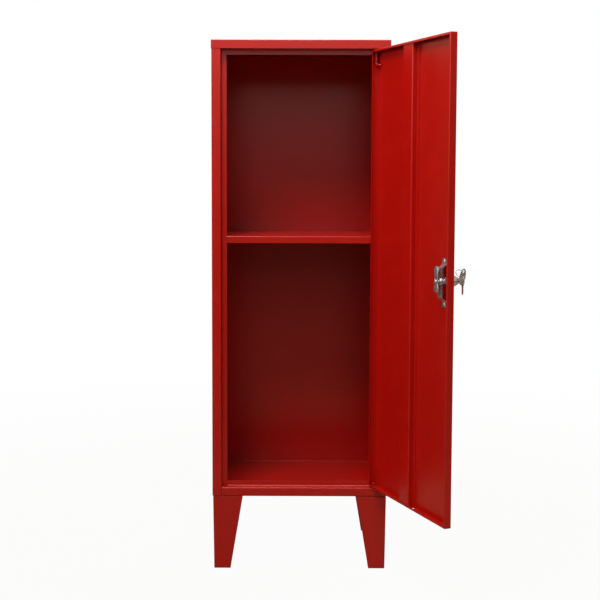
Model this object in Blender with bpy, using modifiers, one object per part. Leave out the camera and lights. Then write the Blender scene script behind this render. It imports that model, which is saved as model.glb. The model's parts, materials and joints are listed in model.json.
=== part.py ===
"""Single-door metal locker on sheet-metal legs, with its door standing open.

Metres, +Z up. The origin is on the floor, below the middle of the carcass. The front faces -Y and the door
hangs on the right, at +X. Every moving piece hangs from an empty that stands on its joint's axis.
"""

from math import atan2, cos, pi, radians, sin, sqrt, tan

import bmesh
import bpy
from mathutils import Matrix, Vector

MM = 0.001

# Overall size, over the top cap and down to the floor
WIDTH = 460 * MM
DEPTH = 380 * MM
HEIGHT = 1380 * MM
LEG_HEIGHT = 195 * MM

# Sheet metal
SHEET = 0.8 * MM
LEG_SHEET = 1.5 * MM
BRACKET_SHEET = 1.2 * MM
BEND_RADIUS = 2 * MM
BEND_STEPS = 5
FIT_GAP = 0.3 * MM          # between pieces that touch
HOLE_GAP = 0.3 * MM         # round a shank in its hole
RUNNING_GAP = 0.1 * MM      # round a turning pin or plug

# Door frame
STILE_WIDTH = 24 * MM
TOP_RAIL_HEIGHT = 22 * MM
BOTTOM_RAIL_HEIGHT = 22 * MM
RECESS_DEPTH = 21 * MM      # from the frame's face to the door stop
STOP_WIDTH = 14 * MM
RAIL_FOOT = 18 * MM         # bottom rail's flange on the floor
REAR_FLANGE = 16 * MM       # side panel's flange behind the back panel
FLOOR_FLANGE = 15 * MM

# Shelf
SHELF_TOP = 878 * MM
SHELF_EDGE = 18 * MM
CLIP_SETBACK = 45 * MM      # clip's middle, from the shelf's front or back edge
CLIP_WIDTH = 16 * MM
CLIP_LEDGE = 14 * MM
CLIP_DROP = 16 * MM
CLIP_PEG_RADIUS = 2.5 * MM

# Door
DOOR_THICKNESS = 18 * MM
DOOR_GAP = 3 * MM
DOOR_LIP = 8 * MM
DOOR_OPEN = radians(112)
PIVOT_INSET = 8 * MM        # from the door's hinge edge
PIVOT_SETBACK = 7.5 * MM    # from the door's outer face
STIFFENER_FROM_HINGE = 195 * MM
STIFFENER_FACE = 48 * MM
STIFFENER_DEPTH = 14 * MM
STIFFENER_FLANGE = 10 * MM
STIFFENER_END_GAP = 1 * MM
DRAIN_HOLE_RADIUS = 3.5 * MM
DRAIN_HOLE_ASIDE = 12 * MM  # from the stiffener's side, towards the lock

# Hinge pins and bushes
PIN_RADIUS = 3 * MM
BUSH_WALL = 1 * MM
BUSH_LENGTH = 6 * MM
COLLAR_RADIUS = 6 * MM
COLLAR_THICKNESS = 1 * MM
PIN_HEAD_RADIUS = 5 * MM
PIN_HEAD_HEIGHT = 1.7 * MM
PIN_END = 3.5 * MM          # how far a pin's end stands out of its bush
PIN_CHAMFER = 0.6 * MM
PIN_BEND = 6 * MM           # radius of the top pin's finger bend
PIN_FINGER = 20 * MM
SPRING_LENGTH = 25 * MM
SPRING_TURNS = 7
SPRING_WIRE = 0.5 * MM      # wire radius
SPRING_PLAY = 0.9 * MM      # between the wire and the pin
POINTS_PER_TURN = 9
GUIDE_LEG = 13 * MM
GUIDE_WIDTH = 11 * MM
GUIDE_TAIL = 4 * MM         # pin's straight run below its guide
GUIDE_REACH = 6 * MM        # guide tab past the pin's axis

# Lock
LOCK_HEIGHT = 791.5 * MM
LOCK_FROM_EDGE = 42 * MM
LOCK_BODY_RADIUS = 8 * MM
LOCK_BODY_INSIDE = 11 * MM  # body's end behind the pivot plane
LOCK_HEAD_LENGTH = 35 * MM
LOCK_HEAD_BASE = 15 * MM
LOCK_HEAD_RIM = 2.5 * MM
LOCK_HEAD_RADIUS = 12.5 * MM
LOCK_HEAD_TAPER = 11.5 * MM # length of the cone at its end
LOCK_HEAD_TIP = 6.5 * MM
EDGE_BREAK = 0.6 * MM
PLUG_RADIUS = 5 * MM
PLUG_TAIL_RADIUS = 3.5 * MM
NUT_FLATS = 21 * MM
NUT_THICKNESS = 5 * MM
STRAP_UP = 53 * MM          # strap's ends, above and below the lock's axis
STRAP_DOWN = 60 * MM
STRAP_WIDTH = 21 * MM
STRAP_FOOT = 13 * MM
STRAP_RAMP = 10 * MM
STRAP_RISE = 12 * MM
CAM_BEHIND_STOP = 0.6 * MM
CAM_THICKNESS = 2 * MM
CAM_OVERLAP = 5 * MM        # how far the turned cam reaches behind the door stop
CAM_TAIL = 26 * MM
CAM_RADIUS = 7 * MM         # round the plug's tail
CAM_END_RADIUS = 10.5 * MM
CAM_SCREW_RADIUS = 2 * MM
CAM_SCREW_LENGTH = 7 * MM
CAM_SCREW_HEAD = 5.5 * MM
CAM_SCREW_HEAD_HEIGHT = 3.2 * MM

# Keys
KEY_THICKNESS = 2 * MM
KEY_BLADE_LENGTH = 20 * MM
KEY_BLADE_HEIGHT = 6.4 * MM
KEY_TIP = 3 * MM
KEY_SHOULDER = 10 * MM
KEY_NECK = 1.2 * MM
KEY_HOLE_RADIUS = 3.2 * MM  # wide, since the ring passes through it at a slant
KEYWAY_GAP = 0.25 * MM
BOW_LENGTH = 16 * MM
BOW_HEIGHT = 38 * MM
BOW_RAISED = 9 * MM         # bow's middle above the blade
BOW_LEAN = 0.2              # how far the bow's top leans outwards, over its height
HOLE_AHEAD = 2.2 * MM       # ring hole from the bow's middle, outwards
HOLE_ABOVE = 12.5 * MM      # and upwards
SPARE_BOW_LENGTH = 22 * MM
SPARE_BOW_HEIGHT = 16 * MM
SPARE_HOLE_AHEAD = 7 * MM
SPARE_HOLE_RADIUS = 2.2 * MM
SPARE_PLAY = 0.8 * MM       # between the ring and the rim of the spare key's hole
RING_RADIUS = 12 * MM
RING_WIRE = 0.7 * MM
RING_CHORD = 20 * MM        # across the ring, where it crosses the key's plane
RING_TILT = radians(48)     # its hanging side, away from straight down

# Legs
LEG_TOP = 78 * MM
LEG_FOOT = 43 * MM
LEG_INSET = 1.5 * MM        # leg's outer faces at its top, inside the side panel's
LEG_BATTER = 2.5 * MM       # how far the foot's outer faces lean in
LEG_BOLT_FROM_SIDE = 19 * MM
LEG_BOLT_FROM_FACE = (31 * MM, 59 * MM)

# Screws and bolts: shank radius, shank length, head radius, head height
LEG_BOLT = (3 * MM, 11 * MM, 5.5 * MM, 3.2 * MM)
SHEET_SCREW = (1.8 * MM, 8 * MM, 3.6 * MM, 2.2 * MM)
CAP_SCREW_FROM_ENDS = 70 * MM
BACK_SCREW_FROM_ENDS = 70 * MM   # and the same below the shelf's edge

ROUND_SIDES = 24
SMALL_SIDES = 12
CUT_MARGIN = 4 * MM         # how far a cutter runs past the wall that it cuts

# Places that follow from the sizes above
skin = SHEET + FIT_GAP                          # one sheet and the gap behind it
bend_inside = BEND_RADIUS - SHEET               # a sheet in a fold stops this far short, clear of the bend
body_half = WIDTH / 2 - skin                    # side panels' outer faces
body_front = -(DEPTH / 2 - skin)
body_back = DEPTH / 2 - skin
body_bottom = LEG_HEIGHT + skin
body_top = HEIGHT - skin - bend_inside
inner_half = body_half - skin
floor_front = body_front + skin + bend_inside
back_panel_front = body_back - skin - SHEET
floor_back = back_panel_front - FIT_GAP
opening_half = body_half - STILE_WIDTH
opening_bottom = body_bottom + BOTTOM_RAIL_HEIGHT
opening_top = HEIGHT - TOP_RAIL_HEIGHT
stop_front = body_front + RECESS_DEPTH
stop_half = opening_half - STOP_WIDTH
rail_half = opening_half - FIT_GAP

door_width = 2 * (opening_half - DOOR_GAP)
door_bottom = opening_bottom + DOOR_GAP
door_top = opening_top - DOOR_GAP
pivot_x = opening_half - DOOR_GAP - PIVOT_INSET
pivot_y = body_front + PIVOT_SETBACK

# In the door's own frame: the origin is on the hinge axis, the free edge at -X and the outer face at -Y
free_edge = PIVOT_INSET - door_width
door_face = -PIVOT_SETBACK
door_inside = DOOR_THICKNESS - PIVOT_SETBACK
sheet_inside = door_face + skin                 # where a piece on the door sheet's inside begins
hinge_inside = PIVOT_INSET - skin

bush_bore = PIN_RADIUS + RUNNING_GAP
bush_radius = bush_bore + BUSH_WALL
clip_top = door_top - skin
clip_bottom = clip_top - COLLAR_THICKNESS
guide_top = clip_bottom - SPRING_LENGTH - 2 * FIT_GAP
guide_bottom = guide_top - BRACKET_SHEET

# In the lock's own frame: +Z out of the door along the lock's axis, +Y up, +X towards the hinge
lock_seat = PIVOT_SETBACK + FIT_GAP
lock_tip = lock_seat + LOCK_HEAD_LENGTH
lock_end = -LOCK_BODY_INSIDE
plug_bore = PLUG_RADIUS + RUNNING_GAP
plug_face = lock_tip + EDGE_BREAK
cam_front = PIVOT_SETBACK - RECESS_DEPTH - SHEET - CAM_BEHIND_STOP
cam_back = cam_front - CAM_THICKNESS
cam_reach = LOCK_FROM_EDGE + DOOR_GAP - STOP_WIDTH + CAM_OVERLAP
plug_end = cam_back - FIT_GAP
key_start = plug_face - KEY_BLADE_LENGTH
key_shoulder = plug_face + FIT_GAP

# Colour, roughness and metallic value of each finish
FINISHES = {
    "red_powder_coat": ((0.41, 0.012, 0.008, 1), 0.38, 0.0),
    "bright_nickel": ((0.60, 0.58, 0.55, 1), 0.18, 1.0),
    "zinc_plate": ((0.52, 0.53, 0.55, 1), 0.32, 1.0),
    "spring_steel": ((0.30, 0.30, 0.31, 1), 0.30, 1.0),
    "black_nylon": ((0.02, 0.02, 0.02, 1), 0.45, 0.0),
}


def clear_scene():
    for thing in list(bpy.data.objects):
        bpy.data.objects.remove(thing, do_unlink=True)


def new_collection(name):
    group = bpy.data.collections.new(name)
    bpy.context.scene.collection.children.link(group)
    return group


def new_frame(name, location, rotation=(0, 0, 0), parent=None):
    """An empty that carries a moving group; it stands on the joint's axis."""
    frame = bpy.data.objects.new(name, None)
    frame.location = location
    frame.rotation_euler = rotation
    frame.parent = parent
    parts.objects.link(frame)
    return frame


def place(name, data, finish, location=(0, 0, 0), rotation=(0, 0, 0), parent=None):
    """Make the named object of a mesh or curve and give it its own material."""
    colour, roughness, metallic = FINISHES[finish]
    material = bpy.data.materials.new(name + "_" + finish)
    material.use_nodes = True
    shader = material.node_tree.nodes["Principled BSDF"]
    shader.inputs["Base Color"].default_value = colour
    shader.inputs["Roughness"].default_value = roughness
    shader.inputs["Metallic"].default_value = metallic
    piece = bpy.data.objects.new(name, data)
    piece.location = location
    piece.rotation_euler = rotation
    piece.parent = parent
    parts.objects.link(piece)
    piece.data.materials.append(material)
    return piece


def mesh_from(bm, name):
    mesh = bpy.data.meshes.new(name)
    bm.to_mesh(mesh)
    bm.free()
    return mesh


def thicken(piece, thickness):
    """Give an open surface its sheet thickness, on the side that its faces turn away from."""
    sheet = piece.modifiers.new("Sheet", "SOLIDIFY")
    sheet.thickness = thickness
    sheet.offset = -1
    sheet.use_even_offset = True


def round_edges(piece, radius, steps=BEND_STEPS):
    bends = piece.modifiers.new("Bends", "BEVEL")
    bends.width = radius
    bends.segments = steps
    bends.limit_method = "ANGLE"
    bends.angle_limit = radians(30)


def add_box(bm, low, high):
    """A closed box between two opposite corners."""
    low, high = Vector(low), Vector(high)
    size = Matrix.Diagonal((*(high - low), 1))
    bmesh.ops.create_cube(bm, size=1, matrix=Matrix.Translation((low + high) / 2) @ size)


def add_rod(bm, radius, start, end, sides=ROUND_SIDES):
    """A closed cylinder from one point to another."""
    start, end = Vector(start), Vector(end)
    turn = (end - start).to_track_quat("Z", "Y").to_matrix().to_4x4()
    matrix = Matrix.Translation((start + end) / 2) @ turn
    bmesh.ops.create_cone(bm, cap_ends=True, segments=sides, radius1=radius, radius2=radius,
                          depth=(end - start).length, matrix=matrix)


def new_cutter(name, bm, like):
    """A cutting body in the same place as the piece that it cuts."""
    cutter = bpy.data.objects.new(name, mesh_from(bm, name))
    cutter.location = like.location
    cutter.rotation_euler = like.rotation_euler
    cutter.parent = like.parent
    cutter.hide_render = True
    cutter.display_type = "WIRE"
    cutters.objects.link(cutter)
    return cutter


def combine(piece, bm, operation="DIFFERENCE"):
    """Cut the bodies in bm, given in the piece's own frame, out of the piece, or join them to it."""
    step = piece.modifiers.new(operation.title(), "BOOLEAN")
    step.operation = operation
    step.solver = "EXACT"
    step.object = new_cutter(piece.name + "_" + operation.lower(), bm, piece)


def fold_line(corners, radius):
    """Points along a folded strip's edge: straight runs with an arc at each inner corner."""
    corners = [Vector(corner) for corner in corners]
    points = [corners[0]]
    for before, corner, after in zip(corners, corners[1:], corners[2:]):
        back = (before - corner).normalized()
        ahead = (after - corner).normalized()
        half = back.angle(ahead) / 2
        centre = corner + (back + ahead).normalized() * radius / sin(half)
        spoke = corner + back * radius / tan(half) - centre
        left_turn = ahead.x * back.y - ahead.y * back.x > 0
        sweep = (pi - 2 * half) if left_turn else (2 * half - pi)
        for step in range(BEND_STEPS + 1):
            points.append(centre + Matrix.Rotation(sweep * step / BEND_STEPS, 2) @ spoke)
    points.append(corners[-1])
    return points


def folded_strip(name, corners, length, finish, thick_left=True, thickness=SHEET, **where):
    """A folded sheet: the corners are in local X and Y, and the fold runs along local +Z.

    The corners lie on one face of the sheet, and its thickness is on the left or the right of their path.
    """
    bm = bmesh.new()
    line = [bm.verts.new((point.x, point.y, 0)) for point in fold_line(corners, BEND_RADIUS)]
    edges = [bm.edges.new(pair) for pair in zip(line, line[1:])]
    grown = bmesh.ops.extrude_edge_only(bm, edges=edges)["geom"]
    moved = [item for item in grown if isinstance(item, bmesh.types.BMVert)]
    bmesh.ops.translate(bm, verts=moved, vec=(0, 0, length))
    bmesh.ops.recalc_face_normals(bm, faces=bm.faces)
    bm.faces.ensure_lookup_table()
    run = line[1].co - line[0].co
    bare_side = Vector((run.y, -run.x, 0)) * (1 if thick_left else -1)
    near_start = [face for face in bm.faces if line[0] in face.verts]
    if near_start[0].normal.dot(bare_side) < 0:
        bmesh.ops.reverse_faces(bm, faces=bm.faces)
    piece = place(name, mesh_from(bm, name), finish, **where)
    thicken(piece, thickness)
    return piece


def open_box(name, low, high, open_sides, finish, thickness=SHEET, **where):
    """A folded pan: a box without the faces whose outward directions are in open_sides."""
    bm = bmesh.new()
    add_box(bm, low, high)
    remove_sides(bm, open_sides)
    piece = place(name, mesh_from(bm, name), finish, **where)
    round_edges(piece, BEND_RADIUS)
    thicken(piece, thickness)
    return piece


def remove_sides(bm, directions):
    gone = [face for face in bm.faces if any(face.normal.dot(Vector(way)) > 0.9 for way in directions)]
    bmesh.ops.delete(bm, geom=gone, context="FACES")


def turned_mesh(name, profile, closed=False):
    """The half outline of a turned piece, as (radius, height) down its outer side."""
    bm = bmesh.new()
    line = [bm.verts.new((radius, 0, height)) for radius, height in profile]
    pairs = list(zip(line, line[1:]))
    if closed:
        pairs.append((line[-1], line[0]))
    for pair in pairs:
        bm.edges.new(pair)
    return mesh_from(bm, name)


def turn(piece, sides):
    lathe = piece.modifiers.new("Turned", "SCREW")
    lathe.steps = sides
    lathe.render_steps = sides
    lathe.use_merge_vertices = True
    lathe.merge_threshold = 0.00001
    lathe.use_smooth_shade = True


def turned(name, profile, finish, closed=False, sides=ROUND_SIDES, **where):
    piece = place(name, turned_mesh(name, profile, closed), finish, **where)
    turn(piece, sides)
    return piece


def screw_profile(shank, length, head, height):
    """A pan-headed screw that points down, with the underside of its head at height 0."""
    return [(0, height), (head * 0.6, height), (head * 0.9, height * 0.7), (head, height * 0.3), (head, 0),
            (shank, 0), (shank, shank - length), (shank * 0.4, -length), (0, -length)]


def add_screws(prefix, sizes, places, rotation_of):
    """One screw for each named place; they share one outline."""
    for label, location in places:
        turned(f"{prefix}_{label}", screw_profile(*sizes), "zinc_plate", sides=SMALL_SIDES,
               location=location, rotation=rotation_of(location))


def corner_labels():
    """Names of the four corners, with their signs along X and Y."""
    for row, along_y in (("front", -1), ("rear", 1)):
        for column, along_x in (("left", -1), ("right", 1)):
            yield f"{row}_{column}", along_x, along_y


def leg_bolt_places(along_x, along_y):
    x = along_x * (body_half - LEG_BOLT_FROM_SIDE)
    return [(x, along_y * (body_back - reach)) for reach in LEG_BOLT_FROM_FACE]


def cap_screw_places():
    z = HEIGHT - TOP_RAIL_HEIGHT / 2
    for label, along_x, along_y in corner_labels():
        yield label, (along_x * (WIDTH / 2 + FIT_GAP), along_y * (DEPTH / 2 - CAP_SCREW_FROM_ENDS), z)


def back_screw_places():
    """Near the ends of the back panel, and below the shelf."""
    heights = (body_bottom + BACK_SCREW_FROM_ENDS, SHELF_TOP - SHELF_EDGE - BACK_SCREW_FROM_ENDS,
               body_top - BACK_SCREW_FROM_ENDS)
    for side, along_x in (("left", -1), ("right", 1)):
        for row, z in enumerate(heights):
            x = along_x * (body_half - REAR_FLANGE / 2)
            yield f"{side}_{row + 1}", (x, body_back + FIT_GAP, z)


def clip_places(along_x):
    z = SHELF_TOP - SHELF_EDGE - FIT_GAP
    for y in (stop_front + CLIP_SETBACK, floor_back - CLIP_SETBACK):
        yield along_x * inner_half, y, z


def across(location):
    """Turn a screw so that it drives in from the side that it is on, along X."""
    return (0, pi / 2 if location[0] > 0 else -pi / 2, 0)


def from_behind(location):
    return (-pi / 2, 0, 0)


def upright(location):
    return (0, 0, 0)


def make_side_panel(name, along_x):
    corners = [(body_half - REAR_FLANGE, body_back), (body_half, body_back), (body_half, body_front),
               (opening_half, body_front), (opening_half, stop_front), (stop_half, stop_front)]
    corners = [(along_x * x, y) for x, y in corners]
    panel = folded_strip(name, corners, body_top - body_bottom, "red_powder_coat", thick_left=along_x < 0,
                         location=(0, 0, body_bottom))
    holes = bmesh.new()
    wall_holes = [(CLIP_PEG_RADIUS, y, z - CLIP_DROP / 2) for x, y, z in clip_places(along_x)]
    wall_holes += [(SHEET_SCREW[0], y, z) for label, (x, y, z) in cap_screw_places() if x * along_x > 0]
    for radius, y, z in wall_holes:
        wall = along_x * body_half
        add_rod(holes, radius + HOLE_GAP, (wall - CUT_MARGIN, y, z - body_bottom),
                (wall + CUT_MARGIN, y, z - body_bottom))
    for label, (x, y, z) in back_screw_places():
        if x * along_x > 0:
            add_rod(holes, SHEET_SCREW[0] + HOLE_GAP, (x, body_back - CUT_MARGIN, z - body_bottom),
                    (x, body_back + CUT_MARGIN, z - body_bottom))
    combine(panel, holes)


def make_back_panel():
    bm = bmesh.new()
    half = inner_half - bend_inside
    add_box(bm, (-half, back_panel_front, body_bottom), (half, back_panel_front + SHEET, body_top))
    panel = place("back_panel", mesh_from(bm, "back_panel"), "red_powder_coat")
    holes = bmesh.new()
    for label, (x, y, z) in back_screw_places():
        add_rod(holes, SHEET_SCREW[0] + HOLE_GAP, (x, back_panel_front - CUT_MARGIN, z),
                (x, y + CUT_MARGIN, z))
    combine(panel, holes)


def make_top_cap():
    cap = open_box("top_cap", (-WIDTH / 2, -DEPTH / 2, opening_top), (WIDTH / 2, DEPTH / 2, HEIGHT),
                   [(0, 0, -1)], "red_powder_coat")
    holes = bmesh.new()
    for label, (x, y, z) in cap_screw_places():
        add_rod(holes, SHEET_SCREW[0] + HOLE_GAP, (x - CUT_MARGIN, y, z), (x + CUT_MARGIN, y, z))
    combine(cap, holes)


def make_rail(name, corners, thick_left, stop_low, stop_high, pin_hole):
    """A rail of the door frame, between the jambs: its stop is cut shorter, to fit between the side stops."""
    rail = folded_strip(name, corners, 2 * rail_half, "red_powder_coat", thick_left,
                        location=(-rail_half, 0, 0), rotation=(pi / 2, 0, pi / 2))
    cuts = bmesh.new()
    near = stop_front - BEND_RADIUS - FIT_GAP
    for start, end in ((-CUT_MARGIN, rail_half - stop_half + FIT_GAP),
                       (rail_half + stop_half - FIT_GAP, 2 * rail_half + CUT_MARGIN)):
        add_box(cuts, (near, stop_low, start), (stop_front + CUT_MARGIN, stop_high, end))
    middle = (stop_low + stop_high) / 2
    add_rod(cuts, pin_hole, (pivot_y, middle - STOP_WIDTH, rail_half + pivot_x),
            (pivot_y, middle + STOP_WIDTH, rail_half + pivot_x))
    combine(rail, cuts)


def make_rails():
    top = [(body_front, body_top), (body_front, opening_top), (stop_front, opening_top),
           (stop_front, opening_top - STOP_WIDTH)]
    make_rail("top_rail", top, True, opening_top - STOP_WIDTH - CUT_MARGIN, opening_top + CUT_MARGIN,
              bush_radius + HOLE_GAP)
    bottom = [(body_front + RAIL_FOOT, body_bottom), (body_front, body_bottom), (body_front, opening_bottom),
              (stop_front, opening_bottom), (stop_front, opening_bottom + STOP_WIDTH)]
    make_rail("bottom_rail", bottom, False, opening_bottom - CUT_MARGIN,
              opening_bottom + STOP_WIDTH + CUT_MARGIN, PIN_RADIUS + HOLE_GAP)


def make_bottom_panel():
    floor = open_box("bottom_panel", (-inner_half, floor_front, LEG_HEIGHT),
                     (inner_half, floor_back, LEG_HEIGHT + FLOOR_FLANGE), [(0, 0, 1), (0, -1, 0)],
                     "red_powder_coat")
    holes = bmesh.new()
    for label, along_x, along_y in corner_labels():
        for x, y in leg_bolt_places(along_x, along_y):
            add_rod(holes, LEG_BOLT[0] + HOLE_GAP, (x, y, LEG_HEIGHT - CUT_MARGIN),
                    (x, y, LEG_HEIGHT + CUT_MARGIN))
    combine(floor, holes)


def make_shelf():
    shelf = open_box("shelf", (-inner_half, stop_front, SHELF_TOP - SHELF_EDGE),
                     (inner_half, floor_back, SHELF_TOP), [(0, 0, -1)], "red_powder_coat")
    notches = bmesh.new()
    for along_x in (-1, 1):
        ends = sorted((along_x * (stop_half - FIT_GAP), along_x * (inner_half + CUT_MARGIN)))
        add_box(notches, (ends[0], stop_front - CUT_MARGIN, SHELF_TOP - SHELF_EDGE - CUT_MARGIN),
                (ends[1], stop_front + skin, SHELF_TOP + CUT_MARGIN))
    combine(shelf, notches)


def make_shelf_clips():
    for side, along_x in (("left", -1), ("right", 1)):
        for row, (x, y, z) in zip(("front", "rear"), clip_places(along_x)):
            corners = [(0, -CLIP_DROP), (0, 0), (-along_x * CLIP_LEDGE, 0)]
            clip = folded_strip(f"shelf_clip_{row}_{side}", corners, CLIP_WIDTH, "zinc_plate",
                                thick_left=along_x > 0, thickness=BRACKET_SHEET,
                                location=(x, y + CLIP_WIDTH / 2, z), rotation=(pi / 2, 0, 0))
            peg = bmesh.new()
            inner_end = Vector((-along_x * BRACKET_SHEET / 2, -CLIP_DROP / 2, CLIP_WIDTH / 2))
            length = Vector((along_x * (BRACKET_SHEET / 2 + skin), 0, 0))
            add_rod(peg, CLIP_PEG_RADIUS, inner_end, inner_end + length, SMALL_SIDES)
            combine(clip, peg, "UNION")


def make_leg(name, along_x, along_y):
    """A corner of folded sheet that tapers to its foot, with a top plate and a sole."""
    top = LEG_HEIGHT - FIT_GAP
    bm = bmesh.new()
    bmesh.ops.create_cube(bm, size=2)
    for vert in bm.verts:
        upper, outer_x, outer_y = vert.co.z > 0, vert.co.x > 0, vert.co.y > 0
        size, inset = (LEG_TOP, LEG_INSET) if upper else (LEG_FOOT, LEG_INSET + LEG_BATTER)
        vert.co = (along_x * (body_half - inset - (0 if outer_x else size)),
                   along_y * (body_back - inset - (0 if outer_y else size)), top if upper else 0)
    bm.normal_update()
    bmesh.ops.recalc_face_normals(bm, faces=bm.faces)
    remove_sides(bm, [(-along_x, 0, 0.2), (0, -along_y, 0.2)])
    leg = place(name, mesh_from(bm, name), "red_powder_coat")
    round_edges(leg, BEND_RADIUS)
    thicken(leg, LEG_SHEET)
    holes = bmesh.new()
    for x, y in leg_bolt_places(along_x, along_y):
        add_rod(holes, LEG_BOLT[0] + HOLE_GAP, (x, y, top - LEG_SHEET - CUT_MARGIN), (x, y, top + CUT_MARGIN))
    combine(leg, holes)


def make_legs():
    floor_top = LEG_HEIGHT + skin
    for label, along_x, along_y in corner_labels():
        make_leg("leg_" + label, along_x, along_y)
        places = [(f"{label}_{row + 1}", (x, y, floor_top))
                  for row, (x, y) in enumerate(leg_bolt_places(along_x, along_y))]
        add_screws("leg_bolt", LEG_BOLT, places, upright)


def make_door_pan(door):
    bm = bmesh.new()
    add_box(bm, (free_edge, door_face, door_bottom), (PIVOT_INSET, door_inside, door_top))
    inside = [face for face in bm.faces if face.normal.y > 0.9]
    bmesh.ops.inset_region(bm, faces=inside, thickness=DOOR_LIP)
    bmesh.ops.delete(bm, geom=inside, context="FACES")
    pan = place("door_pan", mesh_from(bm, "door_pan"), "red_powder_coat", parent=door)
    round_edges(pan, BEND_RADIUS)
    thicken(pan, SHEET)
    holes = bmesh.new()
    lock_x = free_edge + LOCK_FROM_EDGE
    add_rod(holes, LOCK_BODY_RADIUS + HOLE_GAP, (lock_x, door_face - CUT_MARGIN, LOCK_HEIGHT),
            (lock_x, door_face + CUT_MARGIN, LOCK_HEIGHT))
    add_rod(holes, PIN_RADIUS + HOLE_GAP, (0, 0, door_top - CUT_MARGIN), (0, 0, door_top + CUT_MARGIN))
    drain_x = PIVOT_INSET - STIFFENER_FROM_HINGE - STIFFENER_FACE / 2 - DRAIN_HOLE_ASIDE
    for radius, x in ((bush_radius + HOLE_GAP, 0), (DRAIN_HOLE_RADIUS, drain_x)):
        add_rod(holes, radius, (x, 0, door_bottom - CUT_MARGIN), (x, 0, door_bottom + CUT_MARGIN))
    combine(pan, holes)


def make_stiffener(door):
    half = STIFFENER_FACE / 2
    rim = half + STIFFENER_FLANGE
    corners = [(-rim, 0), (-half, 0), (-half, STIFFENER_DEPTH), (half, STIFFENER_DEPTH), (half, 0), (rim, 0)]
    low = door_bottom + SHEET + STIFFENER_END_GAP
    high = door_top - SHEET - STIFFENER_END_GAP
    folded_strip("door_stiffener", corners, high - low, "red_powder_coat", parent=door,
                 location=(PIVOT_INSET - STIFFENER_FROM_HINGE, sheet_inside, low))


def bush_profile(high, rim, low):
    """A flanged bush: its body runs from high to low, and its flange from rim to low."""
    return [(bush_bore, high), (bush_radius, high), (bush_radius, rim), (COLLAR_RADIUS, rim),
            (COLLAR_RADIUS, low), (bush_bore, low)]


def make_hinge_bottom(door):
    rail_under = opening_bottom - skin
    collar_low = opening_bottom + FIT_GAP
    collar_high = collar_low + COLLAR_THICKNESS
    bush_low = collar_high + FIT_GAP
    bush_rim = door_bottom - FIT_GAP
    bush_high = door_bottom + BUSH_LENGTH
    pin_top = bush_high + PIN_END
    turned("bottom_hinge_pin",
           [(0, pin_top), (PIN_RADIUS - PIN_CHAMFER, pin_top), (PIN_RADIUS, pin_top - PIN_CHAMFER),
            (PIN_RADIUS, collar_high), (COLLAR_RADIUS, collar_high), (COLLAR_RADIUS, collar_low),
            (PIN_RADIUS, collar_low), (PIN_RADIUS, rail_under), (PIN_HEAD_RADIUS, rail_under),
            (PIN_HEAD_RADIUS, rail_under - PIN_HEAD_HEIGHT), (0, rail_under - PIN_HEAD_HEIGHT)],
           "zinc_plate", location=(pivot_x, pivot_y, 0))
    turned("bottom_hinge_bush",
           bush_profile(bush_high, bush_rim, bush_low), "black_nylon", closed=True, parent=door)


def top_pin_route():
    """The top pin's middle line: down through its guide, round a bend and along the finger."""
    top = opening_top + BUSH_LENGTH + PIN_END
    bend_start = guide_bottom - GUIDE_TAIL
    points = [(0, 0, top), (0, 0, bend_start)]
    for step in range(1, BEND_STEPS + 2):
        angle = pi / 2 * step / (BEND_STEPS + 1)
        points.append((-PIN_BEND * (1 - cos(angle)), 0, bend_start - PIN_BEND * sin(angle)))
    points.append((-PIN_FINGER, 0, bend_start - PIN_BEND))
    return points


def spring_route(mean_radius, length, turns):
    """A helix round Z, from height 0 up to the length."""
    count = turns * POINTS_PER_TURN
    angles = [2 * pi * step / POINTS_PER_TURN for step in range(count + 1)]
    rise = length / angles[-1]
    return [(mean_radius * cos(angle), mean_radius * sin(angle), rise * angle) for angle in angles]


def wire(name, points, radius, finish, detail, closed=False, **where):
    """A round rod along the points, with its ends closed."""
    curve = bpy.data.curves.new(name, "CURVE")
    curve.dimensions = "3D"
    curve.bevel_depth = radius
    curve.bevel_resolution = detail
    curve.use_fill_caps = True
    spline = curve.splines.new("POLY")
    spline.points.add(len(points) - 1)
    for point, spot in zip(spline.points, points):
        point.co = (*spot, 1)
    spline.use_cyclic_u = closed
    return place(name, curve, finish, **where)


def least_self_gap(points, radius, skip):
    """The least clear distance between stretches of one wire that lie more than skip points apart."""
    spots = [Vector(point) for point in points]
    nearest = min((a - b).length for index, a in enumerate(spots) for b in spots[index + skip:])
    return nearest - 2 * radius


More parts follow.
